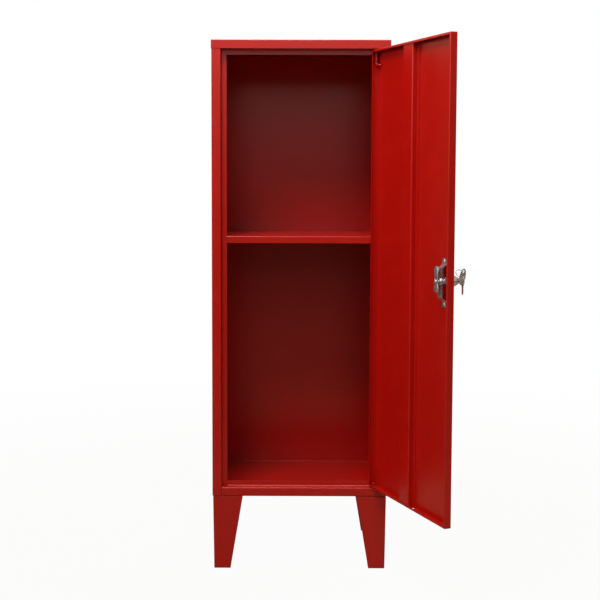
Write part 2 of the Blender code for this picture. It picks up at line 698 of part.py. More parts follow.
def make_hinge_top(door):
    bush_rim = opening_top - FIT_GAP
    bush_low = bush_rim - COLLAR_THICKNESS
    bush_high = opening_top + BUSH_LENGTH
    turned("top_hinge_bush",
           bush_profile(bush_high, bush_rim, bush_low), "black_nylon", closed=True,
           location=(pivot_x, pivot_y, 0))
    wire("top_hinge_pin", top_pin_route(), PIN_RADIUS, "zinc_plate", 2, parent=door)
    grip = PIN_RADIUS + FIT_GAP
    turned("hinge_pin_clip", [(grip, clip_top), (COLLAR_RADIUS, clip_top), (COLLAR_RADIUS, clip_bottom),
                              (grip, clip_bottom)], "spring_steel", closed=True, parent=door)
    mean_radius = PIN_RADIUS + SPRING_PLAY + SPRING_WIRE
    route = spring_route(mean_radius, SPRING_LENGTH - 2 * SPRING_WIRE, SPRING_TURNS)
    wire("hinge_pin_spring", route, SPRING_WIRE, "spring_steel", 1, parent=door,
         location=(0, 0, guide_top + FIT_GAP + SPRING_WIRE))
    gap = least_self_gap(route, SPRING_WIRE, POINTS_PER_TURN // 2)
    print(f"hinge_pin_spring: least gap between turns {gap / MM:.2f} mm")
    corners = [(hinge_inside, guide_bottom + GUIDE_LEG), (hinge_inside, guide_bottom),
               (-GUIDE_REACH, guide_bottom)]
    guide = folded_strip("hinge_pin_guide", corners, GUIDE_WIDTH, "zinc_plate", thick_left=False,
                         thickness=BRACKET_SHEET, parent=door, location=(0, GUIDE_WIDTH / 2, 0),
                         rotation=(pi / 2, 0, 0))
    hole = bmesh.new()
    add_rod(hole, PIN_RADIUS + HOLE_GAP, (0, guide_bottom - CUT_MARGIN, GUIDE_WIDTH / 2),
            (0, guide_top + CUT_MARGIN, GUIDE_WIDTH / 2))
    combine(guide, hole)


def make_lock_body(lock):
    turned("lock_body",
           [(plug_bore, lock_tip), (LOCK_HEAD_TIP - EDGE_BREAK, lock_tip),
            (LOCK_HEAD_TIP, lock_tip - EDGE_BREAK), (LOCK_HEAD_RADIUS, lock_tip - LOCK_HEAD_TAPER),
            (LOCK_HEAD_RADIUS, lock_seat + LOCK_HEAD_RIM), (LOCK_HEAD_BASE, lock_seat + LOCK_HEAD_RIM),
            (LOCK_HEAD_BASE, lock_seat), (LOCK_BODY_RADIUS, lock_seat),
            (LOCK_BODY_RADIUS, lock_end + EDGE_BREAK), (LOCK_BODY_RADIUS - EDGE_BREAK, lock_end),
            (plug_bore, lock_end)], "bright_nickel", closed=True, parent=lock)
    nut_top = -sheet_inside
    nut_bottom = nut_top - NUT_THICKNESS
    bm = bmesh.new()
    add_rod(bm, NUT_FLATS / sqrt(3), (0, 0, nut_bottom), (0, 0, nut_top), sides=6)
    nut = place("lock_nut", mesh_from(bm, "lock_nut"), "zinc_plate", parent=lock)
    bore = bmesh.new()
    add_rod(bore, LOCK_BODY_RADIUS + HOLE_GAP, (0, 0, nut_bottom - CUT_MARGIN), (0, 0, nut_top + CUT_MARGIN))
    combine(nut, bore)


def make_lock_strap(lock):
    """A strap that bridges the nut and steadies the lock body, with its feet on the door sheet."""
    foot = -sheet_inside
    web = foot - STRAP_RISE
    corners = []
    for end in (STRAP_UP, -STRAP_DOWN):
        ramp_start = end - STRAP_FOOT * (1 if end > 0 else -1)
        ramp_end = ramp_start - STRAP_RAMP * (1 if end > 0 else -1)
        side = [(end, foot), (ramp_start, foot), (ramp_end, web)]
        corners += side if end > 0 else reversed(side)
    strap = folded_strip("lock_strap", corners, STRAP_WIDTH, "bright_nickel", thick_left=True,
                         thickness=BRACKET_SHEET, parent=lock, location=(-STRAP_WIDTH / 2, 0, 0),
                         rotation=(pi / 2, 0, pi / 2))
    hole = bmesh.new()
    add_rod(hole, LOCK_BODY_RADIUS + HOLE_GAP, (0, web + CUT_MARGIN, STRAP_WIDTH / 2),
            (0, web - BRACKET_SHEET - CUT_MARGIN, STRAP_WIDTH / 2))
    combine(strap, hole)


def make_lock_plug(plug):
    shoulder = cam_front + FIT_GAP
    thread = CAM_SCREW_RADIUS + HOLE_GAP
    thread_end = plug_end + CAM_SCREW_LENGTH + FIT_GAP
    body = turned("lock_plug",
                  [(0, plug_face), (PLUG_RADIUS - EDGE_BREAK, plug_face),
                   (PLUG_RADIUS, plug_face - EDGE_BREAK), (PLUG_RADIUS, shoulder),
                   (PLUG_TAIL_RADIUS, shoulder), (PLUG_TAIL_RADIUS, plug_end),
                   (thread, plug_end), (thread, thread_end), (0, thread_end)], "bright_nickel", parent=plug)
    keyway = bmesh.new()
    half_wide = KEY_THICKNESS / 2 + KEYWAY_GAP
    half_high = KEY_BLADE_HEIGHT / 2 + KEYWAY_GAP
    add_box(keyway, (-half_wide, -half_high, key_start - FIT_GAP),
            (half_wide, half_high, plug_face + CUT_MARGIN))
    combine(body, keyway)
    head_top = plug_end - FIT_GAP
    head_low = head_top - CAM_SCREW_HEAD_HEIGHT
    turned("cam_screw",
           [(0, plug_end + CAM_SCREW_LENGTH), (CAM_SCREW_RADIUS, plug_end + CAM_SCREW_LENGTH),
            (CAM_SCREW_RADIUS, head_top), (CAM_SCREW_HEAD, head_top),
            (CAM_SCREW_HEAD, head_top - EDGE_BREAK * 2), (CAM_SCREW_HEAD * 0.6, head_low), (0, head_low)],
           "bright_nickel", sides=SMALL_SIDES, parent=plug)


def arc_points(centre, radii, start, end, steps):
    """Points round an ellipse, from one angle to another."""
    angles = [start + (end - start) * step / steps for step in range(steps + 1)]
    return [(centre[0] + radii[0] * cos(angle), centre[1] + radii[1] * sin(angle)) for angle in angles]


def flat_plate(name, outlines, thickness, finish, **where):
    """A flat plate from closed outlines in local X and Y; a later outline inside the first is a hole."""
    curve = bpy.data.curves.new(name, "CURVE")
    curve.dimensions = "2D"
    curve.fill_mode = "BOTH"
    curve.extrude = thickness / 2
    for outline in outlines:
        spline = curve.splines.new("POLY")
        spline.points.add(len(outline) - 1)
        for point, (x, y) in zip(spline.points, outline):
            point.co = (x, y, 0, 1)
        spline.use_cyclic_u = True
    return place(name, curve, finish, **where)


def make_cam(plug):
    """A flat two-armed cam: its long arm points up while the lock is open, and turns to the free edge."""
    ends = (CAM_END_RADIUS, CAM_END_RADIUS)
    outline = arc_points((0, CAM_END_RADIUS - CAM_TAIL), ends, pi, 2 * pi, SMALL_SIDES)
    outline += [(CAM_RADIUS, -CAM_RADIUS / 2), (CAM_RADIUS, CAM_RADIUS / 2)]
    outline += arc_points((0, cam_reach - CAM_END_RADIUS), ends, 0, pi, SMALL_SIDES)
    outline += [(-CAM_RADIUS, CAM_RADIUS / 2), (-CAM_RADIUS, -CAM_RADIUS / 2)]
    hole = PLUG_TAIL_RADIUS + FIT_GAP
    hole_line = arc_points((0, 0), (hole, hole), 0, 2 * pi, ROUND_SIDES)[:-1]
    flat_plate("lock_cam", [outline, hole_line], CAM_THICKNESS, "bright_nickel", parent=plug,
               location=(0, 0, (cam_front + cam_back) / 2))


def key_outlines(bow_length, bow_height, bow_raised, bow_lean, hole_ahead, hole_above, hole_radius):
    """A key's outline and its hole, with X along the blade and out through the bow."""
    half_blade, half_neck = KEY_BLADE_HEIGHT / 2, KEY_SHOULDER / 2
    centre = (key_shoulder + KEY_NECK + bow_length / 2, bow_raised)
    half_bow = bow_height / 2
    low = (-half_neck - bow_raised) / half_bow
    high = (half_neck - bow_raised) / half_bow
    start = atan2(low, -sqrt(1 - low * low))
    end = atan2(high, -sqrt(1 - high * high))
    while end <= start + pi:
        end += 2 * pi
    outline = [(key_start, -half_blade * 0.3), (key_start + KEY_TIP, -half_blade),
               (key_shoulder, -half_blade), (key_shoulder, -half_neck)]
    bow = arc_points(centre, (bow_length / 2, half_bow), start, end, ROUND_SIDES)
    outline += [(x + bow_lean * (y - bow_raised), y) for x, y in bow]
    outline += [(key_shoulder, half_neck), (key_shoulder, half_blade), (key_start + KEY_TIP, half_blade),
                (key_start, half_blade * 0.3)]
    hole_centre = (centre[0] + hole_ahead, centre[1] + hole_above)
    hole = arc_points(hole_centre, (hole_radius, hole_radius), 0, 2 * pi, SMALL_SIDES)[:-1]
    return [outline, hole], hole_centre


def make_keys(key):
    """The key in the lock, the ring through its bow and the spare key that hangs from the ring."""
    along_blade = Matrix.Rotation(-pi / 2, 3, "Y")
    outlines, hole = key_outlines(BOW_LENGTH, BOW_HEIGHT, BOW_RAISED, BOW_LEAN, HOLE_AHEAD, HOLE_ABOVE,
                                  KEY_HOLE_RADIUS)
    flat_plate("key", outlines, KEY_THICKNESS, "bright_nickel", parent=key, rotation=along_blade.to_euler())
    ring_pivot = new_frame("key_ring_pivot", (0, hole[1], hole[0]), parent=key)
    hang = Vector((-sin(RING_TILT), -cos(RING_TILT), 0))
    out = Vector((0, 0, 1))
    centre = hang * sqrt(RING_RADIUS ** 2 - RING_CHORD ** 2 / 4) - out * RING_CHORD / 2
    ring = [centre + (hang * cos(angle) + out * sin(angle)) * RING_RADIUS
            for angle in (2 * pi * step / ROUND_SIDES for step in range(ROUND_SIDES))]
    wire("key_ring", ring, RING_WIRE, "bright_nickel", 1, closed=True, parent=ring_pivot)
    spare_pivot = new_frame("spare_key_pivot", centre + hang * RING_RADIUS, parent=ring_pivot)
    outlines, spare_hole = key_outlines(SPARE_BOW_LENGTH, SPARE_BOW_HEIGHT, 0, 0, SPARE_HOLE_AHEAD, 0,
                                        SPARE_HOLE_RADIUS)
    slack = SPARE_HOLE_RADIUS - RING_WIRE - SPARE_PLAY
    flat_plate("spare_key", outlines, KEY_THICKNESS, "bright_nickel", parent=spare_pivot,
               location=(0, -spare_hole[0] - slack, 0), rotation=(0, 0, pi / 2))


def print_joint_places(frames):
    bpy.context.view_layer.update()
    for frame in frames:
        spot = frame.matrix_world.translation
        print(f"{frame.name}: {spot.x:.6f}, {spot.y:.6f}, {spot.z:.6f}")


clear_scene()
parts = new_collection("metal_locker")
cutters = new_collection("metal_locker_cutters")

make_side_panel("left_side_panel", -1)
make_side_panel("right_side_panel", 1)
make_back_panel()
make_top_cap()
make_rails()
make_bottom_panel()
make_shelf()
make_shelf_clips()
make_legs()
add_screws("cap_screw", SHEET_SCREW, cap_screw_places(), across)
add_screws("back_screw", SHEET_SCREW, back_screw_places(), from_behind)

door_frame = new_frame("door_pivot", (pivot_x, pivot_y, 0), (0, 0, DOOR_OPEN))
make_door_pan(door_frame)
make_stiffener(door_frame)
make_hinge_bottom(door_frame)
make_hinge_top(door_frame)

lock_frame = new_frame("lock_axis", (free_edge + LOCK_FROM_EDGE, 0, LOCK_HEIGHT), (pi / 2, 0, 0), door_frame)
make_lock_body(lock_frame)
make_lock_strap(lock_frame)
make_lock_plug(lock_frame)
make_cam(lock_frame)
make_keys(lock_frame)

print_joint_places([thing for thing in parts.objects if thing.type == "EMPTY"])
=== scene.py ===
import json
import math

import bmesh
import bpy
import numpy as np
from mathutils import Matrix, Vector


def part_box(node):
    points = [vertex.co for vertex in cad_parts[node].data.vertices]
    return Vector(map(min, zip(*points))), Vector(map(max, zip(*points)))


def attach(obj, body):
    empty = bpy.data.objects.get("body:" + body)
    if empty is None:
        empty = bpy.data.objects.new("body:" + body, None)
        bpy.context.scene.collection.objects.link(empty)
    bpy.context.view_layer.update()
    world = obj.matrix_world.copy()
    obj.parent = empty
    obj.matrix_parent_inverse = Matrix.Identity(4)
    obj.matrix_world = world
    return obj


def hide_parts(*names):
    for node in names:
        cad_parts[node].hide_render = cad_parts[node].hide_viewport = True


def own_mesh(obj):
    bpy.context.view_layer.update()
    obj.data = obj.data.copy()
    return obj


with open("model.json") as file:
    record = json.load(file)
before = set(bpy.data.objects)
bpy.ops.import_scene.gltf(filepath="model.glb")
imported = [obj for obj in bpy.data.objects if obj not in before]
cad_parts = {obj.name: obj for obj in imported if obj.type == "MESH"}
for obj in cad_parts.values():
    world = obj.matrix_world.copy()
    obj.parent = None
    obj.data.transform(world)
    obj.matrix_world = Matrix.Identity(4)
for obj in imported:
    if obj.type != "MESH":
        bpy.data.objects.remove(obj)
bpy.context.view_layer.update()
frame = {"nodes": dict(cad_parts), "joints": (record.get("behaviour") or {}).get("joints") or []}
nodes = frame["nodes"]
joints = {joint["name"]: joint for joint in frame["joints"]}
scene = bpy.context.scene
mm = 0.001
print("frame loaded:", len(nodes), "nodes")


def linear(hexColour):  # sRGB hex to the linear colour that a socket takes
    values = np.array([int(hexColour[i:i + 2], 16) for i in (1, 3, 5)]) / 255
    values = np.where(values <= 0.04045, values / 12.92, ((values + 0.055) / 1.055) ** 2.4)
    return (*values.tolist(), 1.0)


def addNode(tree, kind, settings, links=None):
    # a setting is an attribute of the node, or else one of its sockets
    node = tree.nodes.new("ShaderNode" + kind)
    for name, value in settings.items():
        if hasattr(node, name):
            setattr(node, name, value)
        else:
            node.inputs[name].default_value = value
    for name, output in (links or {}).items():
        tree.links.new(output, node.inputs[name])
    return node


def startMaterial(name, settings):  # the settings go straight on to the principled shader's sockets
    material = bpy.data.materials.new(name)
    material.use_nodes = True
    tree = material.node_tree
    shader = tree.nodes["Principled BSDF"]
    for socket, value in settings.items():
        shader.inputs[socket].default_value = value
    coords = addNode(tree, "TexCoord", {}).outputs["Object"]
    return material, tree, shader, coords


# Polyester powder coat on folded steel, sprayed and baked: a deep semi-gloss red with a fine orange peel, a
# film that is a shade thicker in places, and sheet that is never quite flat, so reflections waver a little.
# The real peel is near 1 mm, too fine to show, so it is drawn coarser.
powderCoat = {"film": "#B30C03", "thickFilm": "#AA0A02", "rubbed": "#B81106",
              "cloudSize": 220 * mm, "rubSize": 60 * mm, "peelSize": 2.4 * mm, "waveSize": 260 * mm,
              "peelDepth": 0.004 * mm, "waveDepth": 0.35 * mm,
              "rubFrom": 0.52, "rubTo": 0.75, "rubShare": 0.5,
              "roughLow": 0.27, "roughHigh": 0.36, "specular": 0.4}


def powderCoatedSteel(name, look):
    material, tree, shader, coords = startMaterial(name, {"Specular IOR Level": look["specular"]})
    place = {"Vector": coords}
    clouds = addNode(tree, "TexNoise", {"Scale": 1 / look["cloudSize"], "Detail": 3.0}, place)
    rubs = addNode(tree, "TexNoise", {"Scale": 1 / look["rubSize"], "Detail": 5.0, "Roughness": 0.6}, place)
    waves = addNode(tree, "TexNoise", {"Scale": 1 / look["waveSize"], "Detail": 0.0}, place)
    peel = addNode(tree, "TexNoise", {"Scale": 1 / look["peelSize"], "Detail": 1.0}, place)
    rubMask = addNode(tree, "MapRange", {"From Min": look["rubFrom"], "From Max": look["rubTo"],
                                         "To Max": look["rubShare"]}, {"Value": rubs.outputs["Fac"]})
    film = addNode(tree, "MixRGB", {"Color1": linear(look["film"]), "Color2": linear(look["thickFilm"])},
                   {"Fac": clouds.outputs["Fac"]})
    colour = addNode(tree, "MixRGB", {"Color2": linear(look["rubbed"])},
                     {"Fac": rubMask.outputs["Result"], "Color1": film.outputs["Color"]})
    rough = addNode(tree, "MapRange", {"To Min": look["roughLow"], "To Max": look["roughHigh"]},
                    {"Value": rubs.outputs["Fac"]})
    sheet = addNode(tree, "Bump", {"Strength": 1.0, "Distance": look["waveDepth"]},
                    {"Height": waves.outputs["Fac"]})
    skin = addNode(tree, "Bump", {"Strength": 1.0, "Distance": look["peelDepth"]},
                   {"Height": peel.outputs["Fac"], "Normal": sheet.outputs["Normal"]})
    tree.links.new(colour.outputs["Color"], shader.inputs["Base Color"])
    tree.links.new(rough.outputs["Result"], shader.inputs["Roughness"])
    tree.links.new(skin.outputs["Normal"], shader.inputs["Normal"])
    return material


redSheet = powderCoatedSteel("powderCoatedSteelRed", powderCoat)

# Plated metals. Nickel on cast zinc is bright, with soft casting ripples; zinc plate on steel is bluish and
# slightly milky.
nickelPlate = {"bright": "#DFE2E9", "dull": "#C3C7D0", "patchSize": 9 * mm, "grainSize": 1.6 * mm,
               "roughLow": 0.16, "roughHigh": 0.32, "depth": 0.03 * mm, "metallic": 0.86}
zincPlate = {"bright": "#C8CFD9", "dull": "#A8AFBB", "patchSize": 6 * mm, "grainSize": 1.2 * mm,
             "roughLow": 0.28, "roughHigh": 0.44, "depth": 0.02 * mm, "metallic": 0.8}


def platedMetal(name, look):
    material, tree, shader, coords = startMaterial(name, {"Metallic": look["metallic"]})
    place = {"Vector": coords}
    patches = addNode(tree, "TexNoise", {"Scale": 1 / look["patchSize"], "Detail": 4.0}, place)
    grain = addNode(tree, "TexNoise", {"Scale": 1 / look["grainSize"], "Detail": 2.0}, place)
    colour = addNode(tree, "MixRGB", {"Color1": linear(look["bright"]), "Color2": linear(look["dull"])},
                     {"Fac": patches.outputs["Fac"]})
    rough = addNode(tree, "MapRange", {"From Min": 0.3, "From Max": 0.7,  # the noise seldom leaves this span
                                       "To Min": look["roughLow"], "To Max": look["roughHigh"]},
                    {"Value": grain.outputs["Fac"]})
    ripple = addNode(tree, "Bump", {"Strength": 0.6, "Distance": look["depth"]},
                     {"Height": grain.outputs["Fac"]})
    tree.links.new(colour.outputs["Color"], shader.inputs["Base Color"])
    tree.links.new(rough.outputs["Result"], shader.inputs["Roughness"])
    tree.links.new(ripple.outputs["Normal"], shader.inputs["Normal"])
    return material


brightNickel = platedMetal("nickelPlatedZincCasting", nickelPlate)
zincSteel = platedMetal("zincPlatedSteel", zincPlate)

# Red polyamide, injection moulded: satin, with the faint mottle that the mould's spark-eroded face leaves.
nylon = {"base": "#7E0D07", "worn": "#941409", "mottleSize": 1.5 * mm, "depth": 0.02 * mm,
         "ior": 1.53, "roughness": 0.45}


def mouldedNylon(name, look):
    settings = {"IOR": look["ior"], "Roughness": look["roughness"]}
    material, tree, shader, coords = startMaterial(name, settings)
    mottle = addNode(tree, "TexNoise", {"Scale": 1 / look["mottleSize"], "Detail": 3.0}, {"Vector": coords})
    colour = addNode(tree, "MixRGB", {"Color1": linear(look["base"]), "Color2": linear(look["worn"])},
                     {"Fac": mottle.outputs["Fac"]})
    bump = addNode(tree, "Bump", {"Strength": 0.5, "Distance": look["depth"]},
                   {"Height": mottle.outputs["Fac"]})
    tree.links.new(colour.outputs["Color"], shader.inputs["Base Color"])
    tree.links.new(bump.outputs["Normal"], shader.inputs["Normal"])
    return material


redNylon = mouldedNylon("mouldedNylonRed", nylon)

finishes = {"powder_coat": redSheet, "nickel": brightNickel, "zinc": zincSteel, "nylon": redNylon,
            "spring_steel": redSheet}  # the hinge's spring and clip are coated with the door, as photographed
for node in nodes.values():  # every CAD node keeps its shape and gets its slot's finish
    for materialSlot in node.material_slots:
        materialSlot.material = finishes[materialSlot.material.name]
for name in ("hinge_pin_guide", "bottom_hinge_pin"):  # so are the pin's guide and the lower pin
    nodes[name].material_slots[0].material = redSheet
print("materials on the sheet metal and hardware")

outward = np.array(joints["lock_turn"]["axis"])  # out of the door, along the lock
upward = np.array([0, 0, 1.0])
hingeward = np.cross(upward, outward)
lockAt = np.array(joints["lock_turn"]["pos_m"])
lockAxes = np.array([hingeward, upward, outward])
doorAt = np.array(joints["door_hinge"]["pos_m"]) * (1, 1, 0)
doorAxes = np.array([hingeward, -outward, upward])
cornerShare = 0.45  # the most of a side that one corner takes up, so that two never meet


def inFrame(points, at, axes):  # local millimetres to metres: the place, plus each coordinate along its axis
    return at + points * mm @ axes


def gridPiece(name, points, body, material, standsFor=(), loop=False, crease=38):
    # a grid of points as quads, closed across its columns, and along its rows too if it is a loop
    rows, columns = points.shape[:2]
    index = np.arange(rows * columns).reshape(rows, columns)
    index = np.hstack([index, index[:, :1]])
    index = np.vstack([index, index[:1]]) if loop else index
    quads = np.stack([index[:-1, :-1], index[1:, :-1], index[1:, 1:], index[:-1, 1:]], -1).reshape(-1, 4)
    mesh = bpy.data.meshes.new(name)
    mesh.from_pydata(points.reshape(-1, 3).tolist(), [], quads.tolist())
    work = bmesh.new()
    work.from_mesh(mesh)
    bmesh.ops.remove_doubles(work, verts=work.verts, dist=1e-7)  # closes the poles
    bmesh.ops.dissolve_degenerate(work, edges=work.edges, dist=1e-8)
    bmesh.ops.recalc_face_normals(work, faces=work.faces)
    work.to_mesh(mesh)
    work.free()
    mesh.polygons.foreach_set("use_smooth", np.ones(len(mesh.polygons), bool))
    mesh.set_sharp_from_angle(angle=math.radians(crease))
    mesh.materials.append(material)
    piece = bpy.data.objects.new(name, mesh)
    scene.collection.objects.link(piece)
    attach(piece, body)
    if standsFor:
        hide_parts(*standsFor)
    return piece


def softCorners(corners, radius, closed=False, steps=5):
    # each corner becomes a curve from one side to the next, with the corner as its handle
    corners = np.asarray(corners, float)
    back = np.roll(corners, 1, 0) - corners
    ahead = np.roll(corners, -1, 0) - corners
    backLong = np.linalg.norm(back, axis=1)[:, None]
    aheadLong = np.linalg.norm(ahead, axis=1)[:, None]
    reach = np.minimum(radius, cornerShare * np.minimum(backLong, aheadLong))
    if not closed:
        reach[[0, -1]] = 0
    share = np.linspace(0, 1, steps)[None, :, None]
    start = (corners + back / backLong * reach)[:, None]
    end = (corners + ahead / aheadLong * reach)[:, None]
    handle = corners[:, None]
    curves = (1 - share) ** 2 * start + 2 * share * (1 - share) * handle + share ** 2 * end
    return curves.reshape(-1, 2)


def turnedSurface(profile, sides, flats=None):
    # a profile of (radius, height) carried round the axis; flats, if any, cut it to a hexagon that far across
    angle = np.linspace(0, 2 * np.pi, sides, endpoint=False)
    radius = profile[:, :1] + 0 * angle
    if flats:
        radius = np.minimum(radius, flats / 2 / np.cos((angle + np.pi / 6) % (np.pi / 3) - np.pi / 6))
    return np.stack([radius * np.cos(angle), radius * np.sin(angle), profile[:, 1:] + 0 * angle], -1)


def rodSurface(path, across, radius, sides, dome=5):
    # a round section carried along a path: path + radius * (cos * side + sin * cross), with a dome at
    # either end
    tangent = np.gradient(path, axis=0)
    tangent /= np.linalg.norm(tangent, axis=1)[:, None]
    lift = np.linspace(0, np.pi / 2, dome, endpoint=False)
    first = path[0] - tangent[0] * radius * np.cos(lift)[:, None]
    last = path[-1] + tangent[-1] * radius * np.cos(lift[::-1])[:, None]
    size = np.concatenate([np.sin(lift), np.ones(len(path)), np.sin(lift[::-1])]) * radius
    path = np.vstack([first, path, last])
    tangent = np.vstack([np.repeat(tangent[:1], dome, 0), tangent, np.repeat(tangent[-1:], dome, 0)])
    side = np.cross(np.broadcast_to(across, tangent.shape), tangent)
    side /= np.linalg.norm(side, axis=1)[:, None]
    cross = np.cross(tangent, side)
    angle = np.linspace(0, 2 * np.pi, sides, endpoint=False)[None, :, None]
    section = np.cos(angle) * side[:, None] + np.sin(angle) * cross[:, None]
    return path[:, None] + size[:, None, None] * section


def plateSurface(outline, hole, thickness, edge, rim=0.0, sunk=0.0):
    # a plate with a hole: each point of the hole's edge is joined to one of the outline, and the section runs
    # out over the front, round the rounded edge, back over the rear and through the hole
    span = outline - hole
    length = np.linalg.norm(span, axis=1)[:, None]
    way = (span / length)[:, None]
    half = thickness / 2
    bend = np.linspace(0, np.pi / 2, 5)
    inset = np.concatenate([[edge + rim + sunk, edge + rim], edge - edge * np.sin(bend)])
    height = np.concatenate([[half - sunk, half], half - edge + edge * np.cos(bend)])
    away = np.concatenate([inset, inset[::-1]])
    level = np.concatenate([height, -height[::-1]])
    outer = outline[:, None] - way * np.minimum(away, cornerShare * length)[:, :, None]
    inner = hole[:, None] + way * np.minimum(away[::-1], cornerShare * length)[:, :, None]
    flat = np.concatenate([outer, inner], 1)
    deep = np.broadcast_to(np.concatenate([level, level[::-1]]), flat.shape[:2])
    return np.concatenate([flat, deep[..., None]], -1)


def ellipse(centre, radii, angle):  # one radius gives a circle
    return np.asarray(centre) + radii * np.stack([np.cos(angle), np.sin(angle)], -1)


# Lock knob: a turned outline, soft at its corners, with a rolled thread on the part inside the door
lockKnob = {"bore": 5.1, "tip": 42.8, "tipRadius": 6.5, "coneStart": 31.3, "radius": 12.5, "rim": 15,
            "rimTop": 10.3, "seat": 7.8, "body": 8.0, "end": -11.0, "endChamfer": 0.6,
            "pitch": 1.5, "threadDepth": 0.5, "threadFromSeat": 1.2, "threadFromEnd": 1.5,
            "soft": 1.0, "sides": 72}


def makeLockKnob(look):
    threadTop = look["seat"] - look["threadFromSeat"]
    heights = np.arange(threadTop, look["end"] + look["threadFromEnd"], -look["pitch"])
    crests = np.stack([np.full_like(heights, look["body"]), heights], -1)
    roots = crests - (look["threadDepth"], look["pitch"] / 2)
    thread = np.stack([crests, roots], 1).reshape(-1, 2)
    head = [(look["bore"], look["tip"]), (look["tipRadius"], look["tip"]),
            (look["radius"], look["coneStart"]), (look["radius"], look["rimTop"]),
            (look["rim"], look["rimTop"]), (look["rim"], look["seat"]), (look["body"], look["seat"])]
    tail = [(look["body"] - look["endChamfer"], look["end"]), (look["bore"], look["end"])]
    profile = softCorners(np.vstack([head, thread, tail]), look["soft"], closed=True)
    points = inFrame(turnedSurface(profile, look["sides"]), lockAt, lockAxes)
    gridPiece("lockKnob", points, "door", brightNickel, ["lock_body"], loop=True)


makeLockKnob(lockKnob)

# Lock nut: a chamfered hexagon; the flats cut a turned outline, which leaves the curved chamfer of a real nut
lockNut = {"flats": 21, "bore": 8.3, "high": 6.4, "low": 1.4, "chamfer": 1.1, "faceShare": 0.97,
           "soft": 0.3, "softSteps": 4, "sides": 96, "crease": 25}


def makeLockNut(look):
    corner = look["flats"] / math.sqrt(3)
    face = look["flats"] / 2 * look["faceShare"]
    profile = [(look["bore"], look["high"]), (face, look["high"]), (corner, look["high"] - look["chamfer"]),
               (corner, look["low"] + look["chamfer"]), (face, look["low"]), (look["bore"], look["low"])]
    profile = softCorners(profile, look["soft"], closed=True, steps=look["softSteps"])
    points = inFrame(turnedSurface(profile, look["sides"], look["flats"]), lockAt, lockAxes)
    gridPiece("lockNut", points, "door", zincSteel, ["lock_nut"], loop=True, crease=look["crease"])


makeLockNut(lockNut)

# Rivets through the strap's feet: a low dome with a setting dimple
strapRivets = {"heights": {"Upper": 46.5, "Lower": -53.5}, "surface": 5.2, "radius": 3.6, "rise": 1.7,
               "dimple": 0.45, "dimpleShare": 0.3, "foot": 0.6, "rings": 12, "sides": 32}


def makeStrapRivets(look):
    # height into the door at a share of the radius: half an ellipse, less a bell-shaped dimple in its middle
    share = np.linspace(0, 1, look["rings"])
    dimple = look["dimple"] * np.exp(-(share / look["dimpleShare"]) ** 2)
    dome = np.stack([share * look["radius"], dimple - look["rise"] * np.sqrt(1 - share ** 2)], -1)
    profile = np.vstack([dome, [(look["radius"], look["foot"]), (0, look["foot"])]])
    for label, height in look["heights"].items():
        points = turnedSurface(profile, look["sides"]) + (0, height, look["surface"])
        gridPiece("strapRivet" + label, inFrame(points, lockAt, lockAxes), "door", brightNickel)


makeStrapRivets(strapRivets)

# Cam: a stamped plate with two arms, wider at their ends, on the plug's tail
lockCam = {"hole": 3.8, "reach": 36, "tail": 26, "waist": 7, "end": 10.5, "thickness": 2, "middle": -15.9,
           "edge": 0.45, "arcPoints": 40, "points": 120}


def makeLockCam(look):
    # two half circles joined by a waist, read again at even angles so that each point of the outline faces
    # one of the hole
    arc = np.linspace(0, np.pi, look["arcPoints"])
    upper = ellipse((0, look["reach"] - look["end"]), look["end"], arc)
    lower = ellipse((0, look["end"] - look["tail"]), look["end"], arc + np.pi)
    waist = np.array([(-look["waist"], look["waist"] / 2), (-look["waist"], -look["waist"] / 2)])
    outline = np.vstack([upper, waist, lower, -waist])
    angle = np.unwrap(np.arctan2(outline[:, 1], outline[:, 0]))
    even = np.linspace(angle[0], angle[0] + 2 * np.pi, look["points"], endpoint=False)
    closed = np.vstack([outline, outline[:1]])
    turn = np.append(angle, angle[0] + 2 * np.pi)
    outline = np.stack([np.interp(even, turn, closed[:, 0]), np.interp(even, turn, closed[:, 1])], -1)
    hole = ellipse((0, 0), look["hole"], even)
    points = plateSurface(outline, hole, look["thickness"], look["edge"]) + (0, 0, look["middle"])
    points = inFrame(points, lockAt, lockAxes)
    gridPiece("lockCam", points, "lock_core", brightNickel, ["lock_cam"], loop=True)


makeLockCam(lockCam)

# Cam screw: a hexagon head with a pressed washer under it
camScrew = {"flats": 8, "faceShare": 0.94, "chamfer": 0.6, "washer": 5.5, "washerThick": 0.8, "top": -17.5,
            "low": -20.7, "shank": 2, "end": -10.2, "soft": 0.25, "softSteps": 4, "flatsBelow": 0.05,
            "sides": 72, "crease": 25}


def makeCamScrew(look):
    corner = look["flats"] / math.sqrt(3)
    face = look["flats"] / 2 * look["faceShare"]
    washerLow = look["top"] - look["washerThick"]
    profile = [(0, look["end"]), (look["shank"], look["end"]), (look["shank"], look["top"]),
               (look["washer"], look["top"]), (look["washer"], washerLow), (corner, washerLow),
               (corner, look["low"] + look["chamfer"]), (face, look["low"]), (0, look["low"])]
    profile = softCorners(profile, look["soft"], steps=look["softSteps"])
    turned = turnedSurface(profile, look["sides"])
    hexagon = turnedSurface(profile, look["sides"], look["flats"])
    isHead = turned[..., 2:] < washerLow - look["flatsBelow"]  # the washer stays round
    points = inFrame(np.where(isHead, hexagon, turned), lockAt, lockAxes)
    gridPiece("camScrew", points, "lock_core", brightNickel, ["cam_screw"], crease=look["crease"])


makeCamScrew(camScrew)

